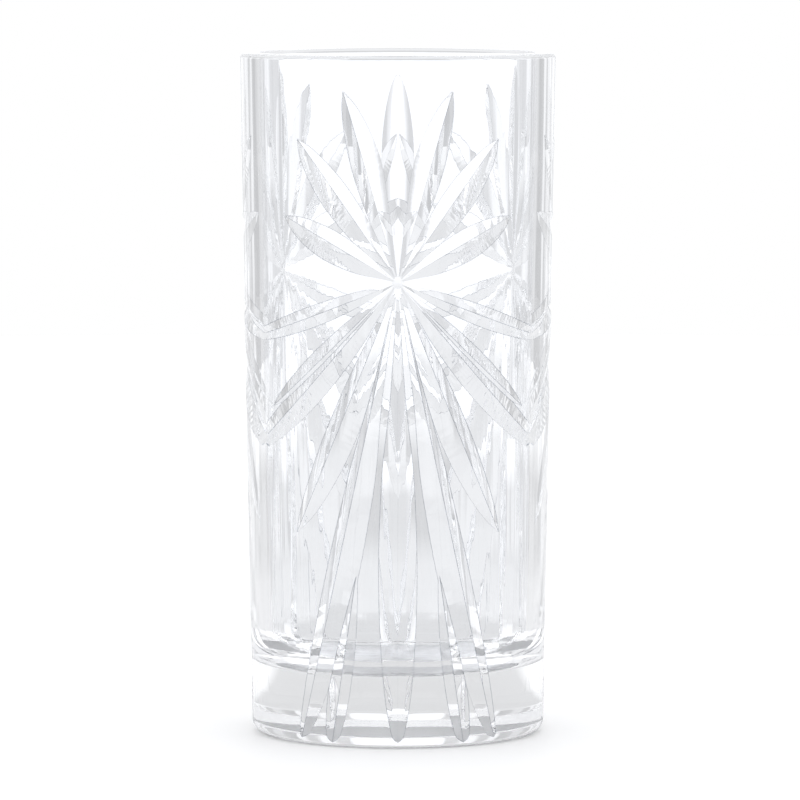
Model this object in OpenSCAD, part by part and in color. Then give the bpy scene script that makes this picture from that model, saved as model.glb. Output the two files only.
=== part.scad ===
// Clear pressed highball tumbler with three star patterns cut round its wall.
// Units are millimetres, +Z is up, the foot stands on z = 0 and the glass turns about the Z axis.
// The star of the front panel faces -Y. The glass is built from the portions its mould forms:
// a lip ring, three wall panels and a thick base, which meet face to face.

/* [Body] */
// Height from the foot to the top of the lip
height = 150; // [120:1:180]
// Outside diameter at the lip
rim_diameter = 69.6; // [66:0.2:80]
// Diameter that the outside cone has at the foot
foot_diameter = 64.4; // [56:0.2:66]
// Wall thickness, measured level
wall = 4.3; // [3.6:0.1:5.5]
// Thickness of the glass under the cavity
base_thickness = 14.8; // [8:0.1:20]
// Radius of the cavity's bottom corner
corner_radius = 9; // [5:0.5:12]
// Radius of the heel round the foot
heel_radius = 3; // [1.5:0.1:4]

/* [Lip] */
// Height of the plain fire-polished lip ring
lip_height = 2.6; // [2.4:0.1:6]
// Radius of the lip's inner and outer edge
lip_radius = 1.2; // [0.6:0.1:1.7]

/* [Star pattern] */
// Distance from the lip ring down to the tip of the top ray
top_margin = 0.2; // [0.2:0.1:6]
// Height of the top ray, from the star's centre to its tip
upper_reach = 45.9; // [36:0.1:56]
// Height of the bottom ray's tip above the foot
foot_margin = 1.2; // [0.8:0.1:8]
// Width of the V cut that the width shares below are taken of
cut_width = 4; // [2.5:0.1:5]
// Depth of the V cut that the depth shares below are taken of
cut_depth = 1.2; // [0.5:0.05:1.5]
// Radius of the small pit in which the rays start
pit_radius = 1.4; // [0.8:0.1:2.4]
// Depth of that pit
pit_depth = 0.25; // [0.2:0.05:0.8]

/* [Hidden] */
$fn = 128;

// Colour of the clear glass
glass_tint = [0.86, 0.90, 0.92, 0.35];
// Number of star panels round the wall
panel_count = 3;
// How far each cutter stands out of the glass
overrun = 6;
// How far the tip of a cutter lies outside the glass, where the cut runs out
run_out = 0.1;
// How far the two walls of a cut go on past their edges, as a share of their width
spread_share = 1.35;

// Rays of the upper half of one star, from upright to level. Each row holds the angle round the
// glass at which the ray ends, its rise as a share of the upper reach, the widths of its left and
// right wall seen from the star's centre, as shares of the cut width, and its depth share.
upper_shares = [
    [20.0, 0.900, 0.95, 0.69, 1.35],
    [39.3, 0.673, 0.72, 0.90, 1.25],
    [46.0, 0.305, 0.72, 0.92, 1.25]
];

// Rays of the lower half that run past the edge of their panel, where they meet the same ray of
// the next star: the drop is a share of the lower reach.
seam_shares = [
    [62.0, 0.124, 0.55, 0.55, 1.10],
    [62.0, 0.354, 0.60, 0.90, 1.20]
];

// Rays of the lower half that end on the panel.
lower_shares = [
    [54.6, 0.279, 0.55, 0.55, 1.00],
    [42.0, 0.552, 0.60, 1.05, 1.20]
];

// Long rays that run down over the base, in the same columns.
long_shares = [
    [40.6, 1.000, 0.55, 1.18, 1.30]
];

// Short rays between the long ones, cut only round the base.
foot_ray_shares = [
    [26.3, 1.005, 0.60, 0.56, 1.25]
];

// Upright rays: the top one and the bottom one, with a single width and depth share each.
top_share = [0.85, 1.05];
bottom_share = [1.03, 1.60];

// Outline of a short ray: places along it, and the share of the full width and depth there.
// The last row is negative because the cut has run out of the glass by then.
leaf_shares = [
    [0.03, 0.08], [0.14, 0.34], [0.30, 0.74], [0.48, 0.97],
    [0.64, 1.00], [0.80, 0.78], [0.92, 0.42], [1.00, -0.06]
];

// Outline of a ray that is still wide where it leaves its panel.
seam_leaf_shares = [
    [0.03, 0.08], [0.14, 0.34], [0.30, 0.72], [0.50, 0.96],
    [0.70, 1.00], [0.88, 0.82], [1.00, 0.55]
];

// Outline of a long ray, which runs out of the glass where the heel turns in.
long_leaf_shares = [
    [0.02, 0.05], [0.12, 0.18], [0.26, 0.42], [0.40, 0.80], [0.55, 0.98], [0.68, 1.00],
    [0.78, 0.91], [0.87, 0.75], [0.93, 0.57], [0.975, 0.36], [1.00, 0.20]
];

// Outline of a ray that starts only above the base. It is still wide where the heel ends it.
foot_leaf_shares = [
    [0.62, 0.05], [0.69, 0.50], [0.78, 0.88], [0.87, 1.00],
    [0.93, 0.92], [0.97, 0.72], [1.00, 0.45]
];

panel_angle = 360 / panel_count;
lip_base = height - lip_height;
base_top = base_thickness + corner_radius;
star_height = lip_base - top_margin - upper_reach;
lower_reach = star_height - foot_margin;

// Outside radius of the cone at a height
function outer_radius(z) = (foot_diameter + (rim_diameter - foot_diameter) * z / height) / 2;

// Radius of the cavity at a height
function inner_radius(z) = outer_radius(z) - wall;

// Depth coordinate of the outside skin at a place seen from the front
function skin(x, z) = -sqrt(pow(outer_radius(z), 2) - x * x);

function on_skin(p) = [p.x, skin(p.x, p.y), p.y];

// The point where a wall of the cut leaves the glass, carried a little further along that wall
function past_edge(valley, edge, share) = share > 0
    ? valley + spread_share * (edge - valley)
    : edge - [0, run_out, 0];

// Five corners of the cut across a ray, at one place along it: the valley, the left wall's edge,
// the two corners far outside the glass, and the right wall's edge.
function section(tip, left_width, right_width, depth, row) =
    let (
        centre = [0, star_height],
        run = (tip - centre) / norm(tip - centre),
        left = [-run.y, run.x],
        share = row[1],
        place = centre + row[0] * (tip - centre),
        valley = on_skin(place) + [0, depth * share, 0],
        left_edge = past_edge(valley, on_skin(place + left_width * abs(share) * left), share),
        right_edge = past_edge(valley, on_skin(place - right_width * abs(share) * left), share)
    )
    [valley, left_edge, left_edge - [0, overrun, 0], right_edge - [0, overrun, 0], right_edge];

// One V-shaped ray cutter, which opens in the direction the mould part is pulled
module ray(tip_angle, tip_height, widths, depth, leaf) {
    tip = [outer_radius(tip_height) * sin(tip_angle), tip_height];
    rows = len(leaf);
    corners = [for (row = leaf) each section(tip, widths[0], widths[1], depth, row)];
    around = 5;
    sides = [
        for (j = [0 : rows - 2])
        for (i = [0 : around - 1])
        let (
            near = j * around + i,
            near_next = j * around + (i + 1) % around
        )
        each [
            [near_next, near, near + around],
            [near_next, near + around, near_next + around]
        ]
    ];
    first_cap = [for (i = [0 : around - 1]) i];
    last_cap = [for (i = [around - 1 : -1 : 0]) (rows - 1) * around + i];
    polyhedron(points = corners, faces = concat([first_cap], sides, [last_cap]));
}

// A ray and its mirror image on the other side of the star
module ray_pair(tip_angle, tip_height, widths, depth, leaf) {
    for (side = [0, 1]) {
        mirror([side, 0, 0]) {
            ray(tip_angle, tip_height, widths, depth, leaf);
        }
    }
}

// Rays that stay on the wall
module wall_rays() {
    ray(0, lip_base - top_margin, cut_width * [top_share[0], top_share[0]],
        cut_depth * top_share[1], leaf_shares);
    for (row = upper_shares) {
        ray_pair(row[0], star_height + row[1] * upper_reach, cut_width * [row[2], row[3]],
            cut_depth * row[4], leaf_shares);
    }
    for (row = seam_shares) {
        ray_pair(row[0], star_height - row[1] * lower_reach, cut_width * [row[2], row[3]],
            cut_depth * row[4], seam_leaf_shares);
    }
    for (row = lower_shares) {
        ray_pair(row[0], star_height - row[1] * lower_reach, cut_width * [row[2], row[3]],
            cut_depth * row[4], leaf_shares);
    }
}

// Rays that run from the wall down over the base
module long_rays() {
    ray(0, foot_margin, cut_width * [bottom_share[0], bottom_share[0]],
        cut_depth * bottom_share[1], long_leaf_shares);
    for (row = long_shares) {
        ray_pair(row[0], star_height - row[1] * lower_reach, cut_width * [row[2], row[3]],
            cut_depth * row[4], long_leaf_shares);
    }
    for (row = foot_ray_shares) {
        ray_pair(row[0], star_height - row[1] * lower_reach, cut_width * [row[2], row[3]],
            cut_depth * row[4], foot_leaf_shares);
    }
}

// Pit at the centre of a star
module pit() {
    pit_run = pit_depth + overrun;
    translate([0, skin(0, star_height) + pit_depth, star_height])
        rotate([90, 0, 0])
            cylinder(h = pit_run, r1 = 0, r2 = pit_radius * pit_run / pit_depth);
}

// Wall between two heights, over the angle of one panel, centred on the front
module wall_panel(low, high) {
    rotate([0, 0, -90 - panel_angle / 2])
        rotate_extrude(angle = panel_angle)
            polygon([
                [inner_radius(low), low],
                [outer_radius(low), low],
                [outer_radius(high), high],
                [inner_radius(high), high]
            ]);
}

// One third of the wall, with its star
module star_panel(turn) {
    color(glass_tint)
        rotate([0, 0, turn])
            difference() {
                wall_panel(base_top, lip_base);
                wall_rays();
                long_rays();
                pit();
            }
}

module front_panel() {
    star_panel(0);
}

module right_panel() {
    star_panel(panel_angle);
}

module left_panel() {
    star_panel(2 * panel_angle);
}

// Plain lip, whose inner and outer edge are rounded by fire polishing
module rim() {
    lip_centre = height - lip_radius;
    inner_centre = inner_radius(lip_centre) + lip_radius;
    outer_centre = outer_radius(lip_centre) - lip_radius;
    color(glass_tint)
        rotate_extrude()
            union() {
                polygon([
                    [inner_radius(lip_base), lip_base],
                    [outer_radius(lip_base), lip_base],
                    [outer_radius(lip_centre), lip_centre],
                    [inner_radius(lip_centre), lip_centre]
                ]);
                intersection() {
                    translate([outer_centre, lip_centre])
                        circle(r = lip_radius);
                    translate([outer_centre, lip_centre])
                        square([lip_radius, lip_radius]);
                }
                translate([inner_centre, lip_centre])
                    square([outer_centre - inner_centre, lip_radius]);
                intersection() {
                    translate([inner_centre, lip_centre])
                        circle(r = lip_radius);
                    translate([inner_centre - lip_radius, lip_centre])
                        square([lip_radius, lip_radius]);
                }
            }
}

// Thick base with the cavity's floor and rounded corner, and the long rays that end on it
module base() {
    floor_radius = inner_radius(base_top) - corner_radius;
    heel_centre = outer_radius(heel_radius) - heel_radius;
    color(glass_tint)
        difference() {
            rotate_extrude()
                difference() {
                    union() {
                        square([heel_centre, base_top]);
                        translate([heel_centre, heel_radius])
                            circle(r = heel_radius);
                        polygon([
                            [0, heel_radius],
                            [outer_radius(heel_radius), heel_radius],
                            [outer_radius(base_top), base_top],
                            [0, base_top]
                        ]);
                    }
                    translate([floor_radius, base_top])
                        circle(r = corner_radius);
                    translate([0, base_thickness])
                        square([floor_radius, base_top]);
                }
            for (turn = [0 : panel_angle : 359]) {
                rotate([0, 0, turn])
                    long_rays();
            }
        }
}

rim();
front_panel();
right_panel();
left_panel();
base();
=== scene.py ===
import math

import bmesh
import bpy
from mathutils import Matrix, Vector


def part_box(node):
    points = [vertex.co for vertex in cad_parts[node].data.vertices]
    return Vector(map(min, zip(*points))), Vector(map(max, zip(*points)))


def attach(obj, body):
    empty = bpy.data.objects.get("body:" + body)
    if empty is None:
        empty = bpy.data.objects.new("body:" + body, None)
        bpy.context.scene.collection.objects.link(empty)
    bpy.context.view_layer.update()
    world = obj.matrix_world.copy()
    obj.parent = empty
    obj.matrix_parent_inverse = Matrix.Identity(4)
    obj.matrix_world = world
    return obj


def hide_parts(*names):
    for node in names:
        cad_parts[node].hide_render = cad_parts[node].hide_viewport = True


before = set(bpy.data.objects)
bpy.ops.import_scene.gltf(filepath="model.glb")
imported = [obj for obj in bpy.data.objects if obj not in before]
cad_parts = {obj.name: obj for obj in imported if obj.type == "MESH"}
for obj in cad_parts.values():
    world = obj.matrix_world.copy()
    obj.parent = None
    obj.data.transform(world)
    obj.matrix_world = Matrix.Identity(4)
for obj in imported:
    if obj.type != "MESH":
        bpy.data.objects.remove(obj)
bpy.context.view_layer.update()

# Camera
# A long lens a little above the lip, which looks down by under five degrees. The axis of the
# glass lies 2.2 pixels left of the middle of the photograph.
CAMERA_DISTANCE = 1.340
CAMERA_HEIGHT = 0.184
CAMERA_PITCH = math.radians(4.7245)
FOCAL_PIXELS = 6094
PICTURE_PIXELS = 800
AXIS_OFFSET_PIXELS = 2.2
SENSOR_WIDTH = 36
CLIP_DISTANCE = 10

camera_data = bpy.data.cameras.new("camera")
camera_data.sensor_width = SENSOR_WIDTH
camera_data.lens = SENSOR_WIDTH * FOCAL_PIXELS / PICTURE_PIXELS
camera_data.clip_end = CLIP_DISTANCE
camera = bpy.data.objects.new("camera", camera_data)
camera.location = (0, -CAMERA_DISTANCE, CAMERA_HEIGHT)
camera.rotation_euler = (
    math.pi / 2 - CAMERA_PITCH,
    0,
    -AXIS_OFFSET_PIXELS / FOCAL_PIXELS,
)
bpy.context.collection.objects.link(camera)
bpy.context.scene.camera = camera
bpy.context.scene.view_settings.view_transform = "Standard"


# Glass
# Clear crystal, pressed in one piece: a cone with a thick base, a plain lip with rounded edges and
# three stars of V-shaped cuts. It is modelled in the portions that its mould forms, which meet face
# to face.
LIP_LOW, LIP_HIGH = (Vector(corner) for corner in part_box("rim"))
BASE_HIGH = Vector(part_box("base")[1])
HEIGHT = LIP_HIGH.z
WALL = 0.0043
LIP_RADIUS = 0.0012
LIP_BASE = LIP_LOW.z
BASE_TOP = BASE_HIGH.z
CORNER_RADIUS = 0.009
BASE_THICKNESS = BASE_TOP - CORNER_RADIUS
HEEL_RADIUS = 0.003
FOOT_RADIUS = 0.0322
RIM_RADIUS = 0.0348
FLARE = (RIM_RADIUS - FOOT_RADIUS) / HEIGHT
STARS = 3
PANEL_ANGLE = math.radians(120)
PANEL_STEPS = 240
ROUND_STEPS = 16
FULL_TURN = 2 * math.pi
SAME_SPOT = 1e-7


def outer_radius(z):
    """Radius of the outer cone at a height."""
    return FOOT_RADIUS + FLARE * z


def inner_radius(z):
    """Radius of the cavity's cone at a height."""
    return outer_radius(z) - WALL


def skin(x, z):
    """Y of the outer skin on the front of the glass."""
    return -math.sqrt(outer_radius(z) ** 2 - x * x)


def arc(centre_r, centre_z, radius, start, end):
    """Outline points round a centre, from one angle in degrees to another."""
    step = (end - start) / ROUND_STEPS
    angles = [math.radians(start + step * i) for i in range(ROUND_STEPS + 1)]
    return [(centre_r + radius * math.cos(a), centre_z + radius * math.sin(a)) for a in angles]


def only_selected(obj):
    bpy.ops.object.select_all(action="DESELECT")
    obj.select_set(True)
    bpy.context.view_layer.objects.active = obj


def turned(name, outline, start, angle, steps, closed):
    """A solid made by turning an outline of (radius, height) points about the Z axis.

    The spin operator turns clockwise seen from above, so its angle is negative. An outline that
    isn't closed starts and ends on the axis.
    """
    bpy.ops.object.select_all(action="DESELECT")
    bpy.ops.mesh.primitive_circle_add(vertices=len(outline), radius=HEIGHT)
    obj = bpy.context.object
    obj.name = name
    for vertex, (radius, height) in zip(obj.data.vertices, outline):
        vertex.co = (radius * math.sin(start), -radius * math.cos(start), height)
    bpy.ops.object.mode_set(mode="EDIT")
    if not closed:
        mesh = bmesh.from_edit_mesh(obj.data)
        for edge in list(mesh.edges):
            if all(vertex.co.xy.length < SAME_SPOT for vertex in edge.verts):
                mesh.edges.remove(edge)
        bmesh.update_edit_mesh(obj.data)
    bpy.ops.mesh.select_all(action="SELECT")
    bpy.ops.mesh.spin(steps=steps, angle=-angle, center=(0, 0, 0), axis=(0, 0, 1))
    bpy.ops.mesh.select_all(action="SELECT")
    bpy.ops.mesh.remove_doubles(threshold=SAME_SPOT)
    bpy.ops.mesh.select_all(action="DESELECT")
    bpy.ops.mesh.select_mode(type="EDGE")
    bpy.ops.mesh.select_non_manifold()
    mesh = bmesh.from_edit_mesh(obj.data)
    if any(edge.select for edge in mesh.edges):
        bpy.ops.mesh.fill_holes(sides=0)
    bpy.ops.mesh.select_all(action="SELECT")
    bpy.ops.mesh.normals_make_consistent(inside=False)
    bpy.ops.object.mode_set(mode="OBJECT")
    return obj


# Star cuts
# Each ray of a star is a V-shaped groove that opens in the direction in which its mould part is
# pulled, pointed at both ends. The three stars are alike and stand a third of a turn apart.
CUT_WIDTH = 0.004
CUT_DEPTH = 0.0012
UPPER_REACH = 0.0459
TOP_MARGIN = 0.0002
FOOT_MARGIN = 0.0012
STAR_HEIGHT = LIP_BASE - TOP_MARGIN - UPPER_REACH
LOWER_REACH = STAR_HEIGHT - FOOT_MARGIN
PIT_RADIUS = 0.0014
PIT_DEPTH = 0.00025
OVERRUN = 0.006
RUN_OUT = 0.0001
SPREAD_SHARE = 1.35
RAY_ROWS = 36
RAY_CORNERS = 5
CORNER_OFFSET = 0.25
ROD_LENGTH = 1
PIT_SIDES = 48
SAME_PLACE = 1e-9

# A pair of rays: the tip's bearing in degrees, the tip's height as a share of the star's reach, and
# the left width, the right width and the depth as shares of a full cut.
UPPER_SHARES = [
    (20.0, 0.900, 0.95, 0.69, 1.35),
    (39.3, 0.673, 0.72, 0.90, 1.25),
    (46.0, 0.305, 0.72, 0.92, 1.25),
]
SEAM_SHARES = [
    (62.0, 0.124, 0.55, 0.55, 1.10),
    (62.0, 0.354, 0.60, 0.90, 1.20),
]
LOWER_SHARES = [
    (54.6, 0.279, 0.55, 0.55, 1.00),
    (42.0, 0.552, 0.60, 1.05, 1.20),
]
LONG_SHARES = [
    (40.6, 1.000, 0.55, 1.18, 1.30),
]
FOOT_RAY_SHARES = [
    (26.3, 1.005, 0.60, 0.56, 1.25),
]

# An upright ray: its width on either side and its depth
TOP_SHARE = (0.85, 1.05)
BOTTOM_SHARE = (1.03, 1.60)

# A leaf: places along the ray, and how much of the full width and depth it has there
LEAF_SHARES = [
    (0.03, 0.08), (0.14, 0.34), (0.30, 0.74), (0.48, 0.97),
    (0.64, 1.00), (0.80, 0.78), (0.92, 0.42), (1.00, -0.06),
]
SEAM_LEAF_SHARES = [
    (0.03, 0.08), (0.14, 0.34), (0.30, 0.72), (0.50, 0.96),
    (0.70, 1.00), (0.88, 0.82), (1.00, 0.55),
]
LONG_LEAF_SHARES = [
    (0.02, 0.05), (0.12, 0.18), (0.26, 0.42), (0.40, 0.80), (0.55, 0.98),
    (0.68, 1.00), (0.78, 0.91), (0.87, 0.75), (0.93, 0.57), (0.975, 0.36), (1.00, 0.20),
]
FOOT_LEAF_SHARES = [
    (0.62, 0.05), (0.69, 0.50), (0.78, 0.88), (0.87, 1.00),
    (0.93, 0.92), (0.97, 0.72), (1.00, 0.45),
]


def leaf_share(outline, place):
    """Smooth value of a leaf outline at a place along it."""
    last = len(outline) - 1
    i = max(k for k in range(last) if place >= outline[k][0] - SAME_PLACE)
    (t0, g0), (t1, g1) = outline[i], outline[i + 1]
    before = outline[max(i - 1, 0)]
    after = outline[min(i + 2, last)]
    span = t1 - t0
    slope0 = (g1 - before[1]) / (t1 - before[0]) * span
    slope1 = (after[1] - g0) / (after[0] - t0) * span
    u = (place - t0) / span
    return (
        (2 * u ** 3 - 3 * u ** 2 + 1) * g0
        + (u ** 3 - 2 * u ** 2 + u) * slope0
        + (3 * u ** 2 - 2 * u ** 3) * g1
        + (u ** 3 - u ** 2) * slope1
    )


def on_skin(place):
    """The spot on the front's outer skin for a level and upright place in the picture."""
    return Vector((place.x, skin(place.x, place.y), place.y))


def past_edge(valley, edge, share):
    """Where a facet leaves the skin: past its edge, or just outside where the ray has run out."""
    if share > 0:
        return valley + SPREAD_SHARE * (edge - valley)
    return edge - Vector((0, RUN_OUT, 0))


def section(tip, widths, depth, outline, along):
    """The five corners of a cut across its ray, at a place between its ends."""
    centre = Vector((0, STAR_HEIGHT))
    run = (tip - centre).normalized()
    left = Vector((-run.y, run.x))
    start = outline[0][0]
    place = start + (1 - start) * along
    share = leaf_share(outline, place)
    middle = centre + place * (tip - centre)
    valley = on_skin(middle) + Vector((0, depth * share, 0))
    left_edge = past_edge(valley, on_skin(middle + widths[0] * abs(share) * left), share)
    right_edge = past_edge(valley, on_skin(middle - widths[1] * abs(share) * left), share)
    out = Vector((0, OVERRUN, 0))
    return [valley, left_edge, left_edge - out, right_edge - out, right_edge]


def ray_cutter(tip_angle, tip_height, widths, depth, outline, mirrored, turn):
    """A five-sided rod, subdivided along its length and drawn onto the ray."""
    bpy.ops.object.select_all(action="DESELECT")
    bpy.ops.mesh.primitive_cylinder_add(vertices=RAY_CORNERS, depth=ROD_LENGTH)
    obj = bpy.context.object
    bpy.ops.object.mode_set(mode="EDIT")
    bpy.ops.mesh.select_all(action="DESELECT")
    bpy.ops.mesh.select_mode(type="EDGE")
    mesh = bmesh.from_edit_mesh(obj.data)
    for edge in mesh.edges:
        edge.select = abs(edge.verts[0].co.z - edge.verts[1].co.z) > ROD_LENGTH / 2
    mesh.select_flush_mode()
    bmesh.update_edit_mesh(obj.data)
    bpy.ops.mesh.subdivide(number_cuts=RAY_ROWS - 2)
    bpy.ops.object.mode_set(mode="OBJECT")
    angle = math.radians(tip_angle)
    tip = Vector((outer_radius(tip_height) * math.sin(angle), tip_height))
    rows = [
        section(tip, widths, depth, outline, row / (RAY_ROWS - 1)) for row in range(RAY_ROWS)
    ]
    turn_round = Matrix.Rotation(turn, 4, "Z")
    for vertex in obj.data.vertices:
        row = round((vertex.co.z / ROD_LENGTH + 0.5) * (RAY_ROWS - 1))
        bearing = math.atan2(vertex.co.y, vertex.co.x) % FULL_TURN
        corner = round(bearing * RAY_CORNERS / FULL_TURN - CORNER_OFFSET) % RAY_CORNERS
        spot = rows[row][corner].copy()
        if mirrored:
            spot.x = -spot.x
        vertex.co = turn_round @ spot
    bpy.ops.object.mode_set(mode="EDIT")
    bpy.ops.mesh.select_all(action="SELECT")
    bpy.ops.mesh.quads_convert_to_tris()
    bpy.ops.mesh.normals_make_consistent(inside=False)
    bpy.ops.object.mode_set(mode="OBJECT")
    return obj


def upright_cutter(tip_height, share, outline, turn):
    """The ray straight above or below a star's middle."""
    width = CUT_WIDTH * share[0]
    return [ray_cutter(0, tip_height, (width, width), CUT_DEPTH * share[1], outline, False, turn)]


def paired_cutters(rows, reach, outline, turn):
    """Each ray of a list and its mirror image. The reach is negative for rays that point down."""
    cutters = []
    for tip_angle, rise, left, right, depth in rows:
        widths = (CUT_WIDTH * left, CUT_WIDTH * right)
        for mirrored in (False, True):
            cutters.append(ray_cutter(
                tip_angle, STAR_HEIGHT + rise * reach, widths, CUT_DEPTH * depth,
                outline, mirrored, turn,
            ))
    return cutters


def long_cutters(turn):
    """The rays of one star that run on from the wall into the base."""
    return (
        upright_cutter(FOOT_MARGIN, BOTTOM_SHARE, LONG_LEAF_SHARES, turn)
        + paired_cutters(LONG_SHARES, -LOWER_REACH, LONG_LEAF_SHARES, turn)
        + paired_cutters(FOOT_RAY_SHARES, -LOWER_REACH, FOOT_LEAF_SHARES, turn)
    )


def wall_cutters(turn):
    """The rays of one star that end in the wall."""
    return (
        upright_cutter(LIP_BASE - TOP_MARGIN, TOP_SHARE, LEAF_SHARES, turn)
        + paired_cutters(UPPER_SHARES, UPPER_REACH, LEAF_SHARES, turn)
        + paired_cutters(SEAM_SHARES, -LOWER_REACH, SEAM_LEAF_SHARES, turn)
        + paired_cutters(LOWER_SHARES, -LOWER_REACH, LEAF_SHARES, turn)
    )


def pit_cutter(turn):
    """The shallow dimple in the star's middle."""
    length = PIT_DEPTH + OVERRUN
    middle = skin(0, STAR_HEIGHT) + PIT_DEPTH - length / 2
    bpy.ops.object.select_all(action="DESELECT")
    bpy.ops.mesh.primitive_cone_add(
        vertices=PIT_SIDES, radius1=0, radius2=PIT_RADIUS * length / PIT_DEPTH, depth=length,
        location=(-middle * math.sin(turn), middle * math.cos(turn), STAR_HEIGHT),
        rotation=(math.pi / 2, 0, turn),
    )
    bpy.ops.object.transform_apply(location=True, rotation=True, scale=True)
    return [bpy.context.object]


def cut_away(obj, cutters):
    """Takes each cutter out of the solid, one after the other, and removes it."""
    for cutter in cutters:
        only_selected(obj)
        cut = obj.modifiers.new("cut", "BOOLEAN")
        cut.operation = "DIFFERENCE"
        cut.solver = "MANIFOLD"
        cut.object = cutter
        bpy.ops.object.modifier_apply(modifier=cut.name)
        bpy.data.objects.remove(cutter)


# Polish
# Fire-polished skin without facets: every corner on a turned surface takes the exact normal of
# that surface, so the portions of the glass join without a line.
SKIN_NEAR = 0.00002
CREASE_ANGLE = math.radians(4)
SKIN_ANGLE = math.radians(3.4)
LIP_CENTRE_Z = HEIGHT - LIP_RADIUS
LIP_OUTER_R = outer_radius(LIP_CENTRE_Z) - LIP_RADIUS
LIP_INNER_R = inner_radius(LIP_CENTRE_Z) + LIP_RADIUS
CORNER_CENTRE_R = inner_radius(BASE_TOP) - CORNER_RADIUS
HEEL_CENTRE_R = outer_radius(HEEL_RADIUS) - HEEL_RADIUS
PLANE_NEAR = 1e-6
FACING = 0.99


def turned_normals(radius, height):
    """Candidates for the (radial, upward) normal of the turned surfaces near a point."""
    found = []
    if height >= LIP_CENTRE_Z - SKIN_NEAR and radius >= LIP_OUTER_R - SKIN_NEAR:
        found.append((radius - LIP_OUTER_R, height - LIP_CENTRE_Z))
    if height >= LIP_CENTRE_Z - SKIN_NEAR and radius <= LIP_INNER_R + SKIN_NEAR:
        found.append((radius - LIP_INNER_R, height - LIP_CENTRE_Z))
    if abs(radius - outer_radius(height)) < SKIN_NEAR:
        found.append((1, -FLARE))
    if abs(radius - inner_radius(height)) < SKIN_NEAR:
        found.append((-1, FLARE))
    if radius >= CORNER_CENTRE_R - SKIN_NEAR and height <= BASE_TOP + SKIN_NEAR:
        found.append((CORNER_CENTRE_R - radius, BASE_TOP - height))
    if radius >= HEEL_CENTRE_R - SKIN_NEAR and height <= HEEL_RADIUS + SKIN_NEAR:
        found.append((radius - HEEL_CENTRE_R, height - HEEL_RADIUS))
    return found


def polish(obj):
    """Smooth shading with exact normals on the turned surfaces and creases at the cuts."""
    only_selected(obj)
    bpy.ops.object.shade_smooth_by_angle(angle=CREASE_ANGLE)
    mesh = obj.data
    normals = [corner.vector.copy() for corner in mesh.corner_normals]
    for face in mesh.polygons:
        flat = Vector(face.normal)
        for corner in face.loop_indices:
            spot = mesh.vertices[mesh.loops[corner].vertex_index].co
            radius = spot.xy.length
            if radius < SKIN_NEAR:
                continue
            outward = Vector((spot.x, spot.y, 0)) / radius
            for radial, upward in turned_normals(radius, spot.z):
                exact = radial * outward + Vector((0, 0, upward))
                if exact.length < SKIN_NEAR:
                    continue
                exact.normalize()
                if exact.dot(flat) > math.cos(SKIN_ANGLE):
                    normals[corner] = exact
    mesh.normals_split_custom_set(normals)


def on_plane(face, mesh, across, distance):
    """True for a face in the plane that stands across a direction, at a distance along it."""
    if abs(face.normal.dot(across)) <= FACING:
        return False
    spots = [mesh.vertices[i].co for i in face.vertices]
    return all(abs(spot.dot(across) - distance) < PLANE_NEAR for spot in spots)


def on_seam(face, mesh):
    """True for a face where two portions of the glass meet."""
    upward = Vector((0, 0, 1))
    planes = [(upward, BASE_TOP), (upward, LIP_BASE)]
    for k in range(STARS):
        bearing = (k + 0.5) * PANEL_ANGLE
        planes.append((Vector((math.cos(bearing), math.sin(bearing), 0)), 0))
    return any(on_plane(face, mesh, across, distance) for across, distance in planes)


# Materials
# Clear crystal with a faint cool tint, long shallow waves down its skin, painted shade along the
# edges of the cuts (a fine darker tint of the glass where their rounded edges look dark) and a
# slightly matt star centre. The underside is worn dull inside its heel.
# The inner faces where two portions meet let light through unchanged, as in one piece of glass.
EDGE_ROUND = 0.00023
EDGE_SAMPLES = 4
# Colour of the painted shade: the glass is tinted dark along the rounded edges of the cuts, where
# bent light makes them look dark.
EDGE_PAINTED_SHADE = (0.08, 0.10, 0.14, 1)
EDGE_START = 0.9995
EDGE_FULL = 0.985
JOINT_CLEAR = 1.5 * EDGE_ROUND
SEAM_SHADED = 2 * EDGE_ROUND
SEAM_SHADE_SHARE = 0.15
STAR_CLEAR = 0.003
STAR_SHADED = 0.012
UPRIGHT_HALF_WIDTH = 0.004
UPRIGHT_SHADE_SHARE = 0.3
SLANTING_HALF_WIDTH = 0.009
SLANTING_SHADE_SHARE = 0.9
CENTRE_MATT = 0.0012
CENTRE_CLEAR = 0.0020
CENTRE_ROUGHNESS = 0.35
CLEAR_TINT = (0.985, 0.99, 1.0, 1)
GLASS_IOR = 1.53
WAVE_SCALE = (300, 300, 11)
WAVE_STRENGTH = 0.6
UPPER_WAVE_STRENGTH = 0.22
WAVE_FADE = 0.012
WAVE_DEPTH = 0.0001
WORN_TINT = (0.94, 0.96, 1.0, 1)
WORN_ROUGHNESS = 0.5
WORN_CLEARNESS = 0.7
WORN_RADIUS = 0.0245
SCRATCH_SCALE = (60, 900, 60)
SCRATCH_DEPTH = 0.0002
NOISE_DETAIL = 2
FARTHEST = 1.0
MIX_FIRST, MIX_SECOND, MIX_RESULT = 6, 7, 2


def new_material(name):
    material = bpy.data.materials.new(name)
    material.use_nodes = True
    return material, material.node_tree.nodes, material.node_tree.links


def feed(links, socket, value):
    """Sets a socket to a number, or joins it to another socket."""
    if isinstance(value, (int, float)):
        socket.default_value = value
    else:
        links.new(value, socket)


def arithmetic(nodes, links, operation, *values):
    """The result of a Math node on numbers or sockets."""
    node = nodes.new("ShaderNodeMath")
    node.operation = operation
    for socket, value in zip(node.inputs, values):
        feed(links, socket, value)
    return node.outputs[0]


def measured(nodes, links, operation, vector, other=(0, 0, 0)):
    """The number that a Vector Math node measures on a vector socket and a fixed vector."""
    node = nodes.new("ShaderNodeVectorMath")
    node.operation = operation
    links.new(vector, node.inputs[0])
    node.inputs[1].default_value = other
    return node.outputs["Value"]


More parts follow.
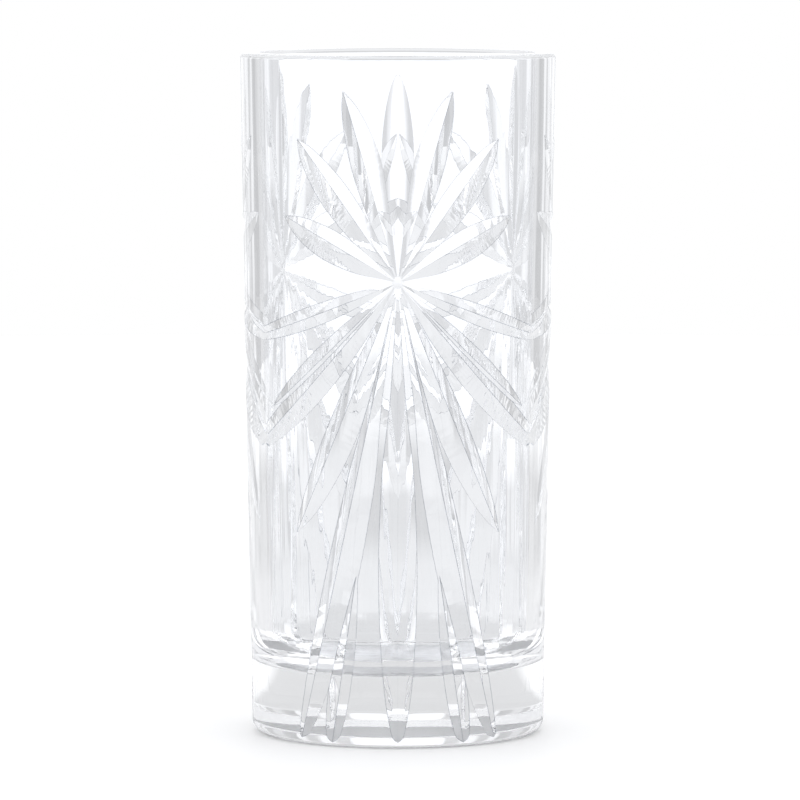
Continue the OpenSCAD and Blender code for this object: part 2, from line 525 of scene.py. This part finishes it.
def spread(nodes, links, value, start, end, low, high):
    """A value from start to end, taken to the range from low to high and held at its ends."""
    node = nodes.new("ShaderNodeMapRange")
    links.new(value, node.inputs["Value"])
    node.inputs["From Min"].default_value = start
    node.inputs["From Max"].default_value = end
    feed(links, node.inputs["To Min"], low)
    feed(links, node.inputs["To Max"], high)
    return node.outputs["Result"]


def mixed(nodes, links, share, first, second):
    """The first colour where the share is 0, and the second where it is 1."""
    node = nodes.new("ShaderNodeMix")
    node.data_type = "RGBA"
    links.new(share, node.inputs[0])
    node.inputs[MIX_FIRST].default_value = first
    node.inputs[MIX_SECOND].default_value = second
    return node.outputs[MIX_RESULT]


def place_parts(nodes, links):
    """The object coordinates as one vector, and their X, Y and Z."""
    coords = nodes.new("ShaderNodeTexCoord").outputs["Object"]
    parts = nodes.new("ShaderNodeSeparateXYZ")
    links.new(coords, parts.inputs["Vector"])
    return coords, parts.outputs


def stretched_bump(nodes, links, scale, depth):
    """Bumps of noise on the object coordinates, drawn out along one axis."""
    mapping = nodes.new("ShaderNodeMapping")
    mapping.inputs["Scale"].default_value = scale
    links.new(nodes.new("ShaderNodeTexCoord").outputs["Object"], mapping.inputs["Vector"])
    noise = nodes.new("ShaderNodeTexNoise")
    noise.inputs["Scale"].default_value = 1
    noise.inputs["Detail"].default_value = NOISE_DETAIL
    links.new(mapping.outputs["Vector"], noise.inputs["Vector"])
    bump = nodes.new("ShaderNodeBump")
    bump.inputs["Distance"].default_value = depth
    links.new(noise.outputs["Fac"], bump.inputs["Height"])
    return bump


def edge_share(nodes, links):
    """How far the surface turns within a rounded edge: 0 on a plain skin, and 1 at an edge."""
    rounded = nodes.new("ShaderNodeBevel")
    rounded.samples = EDGE_SAMPLES
    rounded.inputs["Radius"].default_value = EDGE_ROUND
    turn_off = nodes.new("ShaderNodeVectorMath")
    turn_off.operation = "DOT_PRODUCT"
    links.new(rounded.outputs["Normal"], turn_off.inputs[0])
    links.new(nodes.new("ShaderNodeNewGeometry").outputs["Normal"], turn_off.inputs[1])
    return spread(nodes, links, turn_off.outputs["Value"], EDGE_START, EDGE_FULL, 0, 1)


def from_joint(nodes, links, height):
    """The distance from the nearer of the two levels where the portions meet."""
    nearest = FARTHEST
    for joint_height in (BASE_TOP, LIP_BASE):
        gap = arithmetic(nodes, links, "SUBTRACT", height, joint_height)
        gap = arithmetic(nodes, links, "ABSOLUTE", gap)
        nearest = arithmetic(nodes, links, "MINIMUM", gap, nearest)
    return nearest


def from_plane(nodes, links, spot):
    """The distance from the nearest upright plane through a star's middle and a mould seam."""
    nearest = FARTHEST
    for k in range(STARS):
        across = (math.cos(k * PANEL_ANGLE), math.sin(k * PANEL_ANGLE), 0)
        gap = measured(nodes, links, "DOT_PRODUCT", spot, across)
        gap = arithmetic(nodes, links, "ABSOLUTE", gap)
        nearest = arithmetic(nodes, links, "MINIMUM", gap, nearest)
    return nearest


def from_star(nodes, links, spot):
    """The distance from the nearest star's middle."""
    nearest = FARTHEST
    radius = outer_radius(STAR_HEIGHT)
    for k in range(STARS):
        turn = k * PANEL_ANGLE
        middle = (radius * math.sin(turn), -radius * math.cos(turn), STAR_HEIGHT)
        gap = measured(nodes, links, "DISTANCE", spot, middle)
        nearest = arithmetic(nodes, links, "MINIMUM", gap, nearest)
    return nearest


def painted_shade_share(nodes, links, spot, height, star_gap):
    """How strong the painted shade along an edge is: less on upright cuts high up, none at joints
    and centres.
    """
    plane_gap = from_plane(nodes, links, spot)
    off_joint = arithmetic(
        nodes, links, "GREATER_THAN", from_joint(nodes, links, height), JOINT_CLEAR
    )
    off_plane = spread(nodes, links, plane_gap, EDGE_ROUND, SEAM_SHADED, SEAM_SHADE_SHARE, 1)
    off_star = spread(nodes, links, star_gap, STAR_CLEAR, STAR_SHADED, 0, 1)
    upper_share = spread(
        nodes, links, plane_gap, UPRIGHT_HALF_WIDTH, SLANTING_HALF_WIDTH,
        UPRIGHT_SHADE_SHARE, SLANTING_SHADE_SHARE,
    )
    high_up = spread(
        nodes, links, height, STAR_HEIGHT, STAR_HEIGHT + STAR_SHADED, 1, upper_share
    )
    share = arithmetic(nodes, links, "MULTIPLY", off_plane, high_up)
    share = arithmetic(nodes, links, "MULTIPLY", share, off_joint)
    return arithmetic(nodes, links, "MULTIPLY", share, off_star)


crystal, nodes, links = new_material("crystal")
shader = nodes["Principled BSDF"]
shader.inputs["IOR"].default_value = GLASS_IOR
shader.inputs["Transmission Weight"].default_value = 1
spot, spot_parts = place_parts(nodes, links)
star_gap = from_star(nodes, links, spot)
matt_centre = spread(nodes, links, star_gap, CENTRE_MATT, CENTRE_CLEAR, CENTRE_ROUGHNESS, 0)
links.new(matt_centre, shader.inputs["Roughness"])
# Painted shade along the cut edges: a darker tint of the glass where the surface turns within a
# rounded edge.
edge_shade_share = arithmetic(
    nodes, links, "MULTIPLY",
    edge_share(nodes, links), painted_shade_share(nodes, links, spot, spot_parts["Z"], star_gap),
)
edge_shade_colour = mixed(nodes, links, edge_shade_share, CLEAR_TINT, EDGE_PAINTED_SHADE)
links.new(edge_shade_colour, shader.inputs["Base Color"])
waves = stretched_bump(nodes, links, WAVE_SCALE, WAVE_DEPTH)
wave_share = spread(
    nodes, links, spot_parts["Z"], STAR_HEIGHT - WAVE_FADE, STAR_HEIGHT + WAVE_FADE,
    WAVE_STRENGTH, UPPER_WAVE_STRENGTH,
)
links.new(wave_share, waves.inputs["Strength"])
links.new(waves.outputs["Normal"], shader.inputs["Normal"])

fused, nodes, links = new_material("fused")
nodes.remove(nodes["Principled BSDF"])
clear = nodes.new("ShaderNodeBsdfTransparent")
links.new(clear.outputs["BSDF"], nodes["Material Output"].inputs["Surface"])

worn_foot, nodes, links = new_material("worn_foot")
shader = nodes["Principled BSDF"]
shader.inputs["Base Color"].default_value = WORN_TINT
shader.inputs["IOR"].default_value = GLASS_IOR
shader.inputs["Roughness"].default_value = WORN_ROUGHNESS
shader.inputs["Transmission Weight"].default_value = WORN_CLEARNESS
scratches = stretched_bump(nodes, links, SCRATCH_SCALE, SCRATCH_DEPTH)
links.new(scratches.outputs["Normal"], shader.inputs["Normal"])


def on_worn_foot(face, mesh):
    """True for a face of the underside, inside the clear ring along the heel."""
    spots = [mesh.vertices[i].co for i in face.vertices]
    return all(
        spot.z < PLANE_NEAR and spot.length < WORN_RADIUS + PLANE_NEAR for spot in spots
    )


def finish_piece(obj, node):
    """Polishes a portion of the glass, gives it its materials and ties it to the frame."""
    polish(obj)
    obj.data.materials.clear()
    materials = [crystal, fused, worn_foot]
    for material in materials:
        obj.data.materials.append(material)
    for face in obj.data.polygons:
        face.material_index = materials.index(crystal)
        if on_seam(face, obj.data):
            face.material_index = materials.index(fused)
        elif on_worn_foot(face, obj.data):
            face.material_index = materials.index(worn_foot)
    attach(obj, "root")
    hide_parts(node)


# Base
# Thick pressed base with a round heel, the cavity's floor and corner, and the ends of the long
# rays of all three stars.
base_outline = (
    [(0, 0), (WORN_RADIUS, 0)]
    + arc(HEEL_CENTRE_R, HEEL_RADIUS, HEEL_RADIUS, -90, 0)
    + [(outer_radius(BASE_TOP), BASE_TOP)]
    + arc(CORNER_CENTRE_R, BASE_TOP, CORNER_RADIUS, 0, -90)
    + [(0, BASE_THICKNESS)]
)
base = turned("base_glass", base_outline, 0, FULL_TURN, STARS * PANEL_STEPS, False)
for k in range(STARS):
    cut_away(base, long_cutters(k * PANEL_ANGLE))
finish_piece(base, "base")


# Wall panels
# A third of the conical wall each, with one star. The front one faces the camera.
wall_outline = [
    (inner_radius(BASE_TOP), BASE_TOP),
    (outer_radius(BASE_TOP), BASE_TOP),
    (outer_radius(LIP_BASE), LIP_BASE),
    (inner_radius(LIP_BASE), LIP_BASE),
]
for k, node in enumerate(["front_panel", "right_panel", "left_panel"]):
    turn = k * PANEL_ANGLE
    panel = turned(
        node + "_glass", wall_outline, turn - PANEL_ANGLE / 2, PANEL_ANGLE, PANEL_STEPS, True
    )
    cut_away(panel, wall_cutters(turn) + long_cutters(turn) + pit_cutter(turn))
    finish_piece(panel, node)


# Rim
# Plain drinking lip, a closed ring whose inner and outer edges are rounded by fire polishing.
lip_outline = (
    [(inner_radius(LIP_BASE), LIP_BASE), (outer_radius(LIP_BASE), LIP_BASE)]
    + arc(LIP_OUTER_R, LIP_CENTRE_Z, LIP_RADIUS, 0, 90)
    + arc(LIP_INNER_R, LIP_CENTRE_Z, LIP_RADIUS, 90, 180)
)
rim = turned("rim_glass", lip_outline, 0, FULL_TURN, STARS * PANEL_STEPS, True)
finish_piece(rim, "rim")


# Table
# A wide white table under the glass. The camera sees it near white. Through the glass it glows
# with painted light and shade instead, in broad stripes by the distance and the bearing from its
# middle.
TABLE_RADIUS = 1.22
TABLE_CORNERS = 96
TABLE_DROP = 0.00005
TABLE_WHITE = (0.9, 0.9, 0.9, 1)
TABLE_ROUGHNESS = 0.6
TABLE_TINT = (0.985, 0.99, 1.0, 1)
TABLE_LIFT = 0.16
TONE_SCALE = 1.6

# Painted light and shade by distance in metres
TABLE_TONES = [
    (0.00, 0.75), (0.05, 0.75), (0.10, 0.75), (0.20, 0.82), (0.28, 0.90), (0.40, 0.88),
    (0.50, 0.68), (0.74, 0.66), (0.90, 0.98), (1.22, 1.00),
]

# Painted light added far from the glass, by degrees from the nearest of its four sides, and by
# distance
TABLE_FAR_TONES = [
    (0, 0), (3.6, 0), (5, 0.25), (11, 0.25), (13, 0.12), (17, 0.12), (19, 0.28), (23, 0.28),
    (25, 0.0), (29, 0.0), (31, 0.26), (33, 0.26), (35, 0.0), (41, 0.0), (43, 0.10), (45, 0.10),
]
TABLE_FAR_SHARES = [(0, 0), (0.12, 0), (0.17, 0.7), (0.24, 0), (0.42, 0), (0.50, 1), (1.22, 1)]

# Painted light added near the glass, by degrees from the line from front to back, and by distance
TABLE_NEAR_TONES = [
    (0, 0), (30, 0), (38, 0.36), (57, 0.36), (62, 0.62), (84, 0.62), (88, 0.20), (90, 0.20),
]
TABLE_NEAR_SHARES = [(0, 1), (0.12, 1), (0.17, 0), (1.22, 0)]

bpy.ops.object.select_all(action="DESELECT")
bpy.ops.mesh.primitive_circle_add(
    vertices=TABLE_CORNERS, radius=TABLE_RADIUS, fill_type="NGON", location=(0, 0, -TABLE_DROP)
)
table = bpy.context.object
table.name = "table"


def ramp(nodes, links, value, stops, scale):
    """A tone that follows a value through a list of (value, tone) stops.

    A colour ramp holds tones up to 1, so brighter ones are divided by a scale and multiplied back.
    """
    reach = stops[-1][0]
    node = nodes.new("ShaderNodeValToRGB")
    links.new(arithmetic(nodes, links, "DIVIDE", value, reach), node.inputs["Fac"])
    while len(node.color_ramp.elements) < len(stops):
        node.color_ramp.elements.new(1)
    for element, (place, tone) in zip(node.color_ramp.elements, stops):
        element.position = place / reach
        element.color = (tone / scale, tone / scale, tone / scale, 1)
    return arithmetic(nodes, links, "MULTIPLY", node.outputs["Color"], scale)


def degrees_off(nodes, links, leg, reach):
    """The angle in degrees between a line of a given reach and its leg along an axis."""
    cosine = arithmetic(nodes, links, "DIVIDE", leg, reach)
    cosine = arithmetic(nodes, links, "MINIMUM", cosine, 1.0)
    return arithmetic(nodes, links, "DEGREES", arithmetic(nodes, links, "ARCCOSINE", cosine))


def longer_leg(nodes, links, parts):
    """The larger of X and Y without their signs, so that all four sides are alike."""
    return arithmetic(
        nodes, links, "MAXIMUM",
        arithmetic(nodes, links, "ABSOLUTE", parts["X"]),
        arithmetic(nodes, links, "ABSOLUTE", parts["Y"]),
    )


table_painted_light, nodes, links = new_material("table_painted_light")
table_cover = nodes["Principled BSDF"]
table_cover.inputs["Base Color"].default_value = TABLE_WHITE
table_cover.inputs["Roughness"].default_value = TABLE_ROUGHNESS
spot, spot_parts = place_parts(nodes, links)
reach = measured(nodes, links, "LENGTH", spot)
side_degrees = degrees_off(nodes, links, longer_leg(nodes, links, spot_parts), reach)
front_degrees = degrees_off(
    nodes, links, arithmetic(nodes, links, "ABSOLUTE", spot_parts["Y"]), reach
)
far_tone = arithmetic(
    nodes, links, "MULTIPLY",
    ramp(nodes, links, side_degrees, TABLE_FAR_TONES, 1),
    ramp(nodes, links, reach, TABLE_FAR_SHARES, 1),
)
near_tone = arithmetic(
    nodes, links, "MULTIPLY",
    ramp(nodes, links, front_degrees, TABLE_NEAR_TONES, 1),
    ramp(nodes, links, reach, TABLE_NEAR_SHARES, 1),
)
painted_table_tone = arithmetic(
    nodes, links, "ADD",
    ramp(nodes, links, reach, TABLE_TONES, TONE_SCALE),
    arithmetic(nodes, links, "ADD", far_tone, near_tone),
)
# Painted light and shade: rays through the glass see the table glow in these tones instead of its
# lit white.
table_glow = nodes.new("ShaderNodeEmission")
table_glow.inputs["Color"].default_value = TABLE_TINT
links.new(painted_table_tone, table_glow.inputs["Strength"])
table_path = nodes.new("ShaderNodeLightPath")
table_mix = nodes.new("ShaderNodeMixShader")
links.new(table_path.outputs["Is Transmission Ray"], table_mix.inputs["Fac"])
links.new(table_cover.outputs["BSDF"], table_mix.inputs[1])
links.new(table_glow.outputs["Emission"], table_mix.inputs[2])
table_lift = nodes.new("ShaderNodeEmission")
lift_strength = arithmetic(
    nodes, links, "MULTIPLY", table_path.outputs["Is Camera Ray"], TABLE_LIFT
)
links.new(lift_strength, table_lift.inputs["Strength"])
table_sum = nodes.new("ShaderNodeAddShader")
links.new(table_mix.outputs["Shader"], table_sum.inputs[0])
links.new(table_lift.outputs["Emission"], table_sum.inputs[1])
links.new(table_sum.outputs["Shader"], nodes["Material Output"].inputs["Surface"])
table.data.materials.append(table_painted_light)


# Room
# A light room round the table, alike toward its four sides, whose walls are upright panels in
# white and grey under a white ceiling. The camera itself sees plain white round the glass.
ROOM_TINT = (0.98, 0.985, 1.0, 1)
PLAIN_WHITE = (1, 1, 1, 1)
CEILING_TONE = 0.94
TABLE_LIGHT = 1.2

# Tone by degrees from the nearest of the four sides
PANEL_TONES = [
    (0, 1.14), (12.5, 1.14), (13.5, 0.72), (17, 0.76), (19, 1.04), (23, 1.04), (25, 0.68),
    (28, 0.66), (30, 1.00), (32.5, 1.00), (34, 0.56), (40, 0.60), (42, 0.76), (45, 0.76),
]

# Share of the ceiling by degrees above the level
CEILING_SHARES = [(0, 0), (24, 0), (32, 1), (90, 1)]

world = bpy.data.worlds.new("studio")
world.use_nodes = True
bpy.context.scene.world = world
nodes, links = world.node_tree.nodes, world.node_tree.links
background = nodes["Background"]
direction_parts = nodes.new("ShaderNodeSeparateXYZ")
links.new(
    nodes.new("ShaderNodeTexCoord").outputs["Generated"], direction_parts.inputs["Vector"]
)
elevation = arithmetic(nodes, links, "ARCSINE", direction_parts.outputs["Z"])
wall_degrees = degrees_off(
    nodes, links, longer_leg(nodes, links, direction_parts.outputs),
    arithmetic(nodes, links, "COSINE", elevation),
)
wall_tone = ramp(nodes, links, wall_degrees, PANEL_TONES, TONE_SCALE)
ceiling_share = ramp(
    nodes, links, arithmetic(nodes, links, "DEGREES", elevation), CEILING_SHARES, 1
)
lifted = arithmetic(
    nodes, links, "MULTIPLY", ceiling_share,
    arithmetic(nodes, links, "SUBTRACT", CEILING_TONE, wall_tone),
)
room_tone = arithmetic(nodes, links, "ADD", wall_tone, lifted)
path = nodes.new("ShaderNodeLightPath")
camera_ray, diffuse_ray = path.outputs["Is Camera Ray"], path.outputs["Is Diffuse Ray"]
through_glass = arithmetic(
    nodes, links, "SUBTRACT", 1.0,
    arithmetic(nodes, links, "ADD", camera_ray, diffuse_ray),
)
plain_strength = arithmetic(
    nodes, links, "ADD", camera_ray,
    arithmetic(nodes, links, "MULTIPLY", diffuse_ray, TABLE_LIGHT),
)
room_strength = arithmetic(
    nodes, links, "ADD",
    arithmetic(nodes, links, "MULTIPLY", room_tone, through_glass),
    plain_strength,
)
room_colour = mixed(nodes, links, camera_ray, ROOM_TINT, PLAIN_WHITE)
links.new(room_colour, background.inputs["Color"])
links.new(room_strength, background.inputs["Strength"])


# Light paths
# Long enough for the reflections inside thick glass and for the clear faces between its portions.
GLASS_BOUNCES = 40
CLEAR_PASSES = 64
cycles = bpy.context.scene.cycles
cycles.max_bounces = GLASS_BOUNCES
cycles.transmission_bounces = GLASS_BOUNCES
cycles.glossy_bounces = GLASS_BOUNCES
cycles.transparent_max_bounces = CLEAR_PASSES
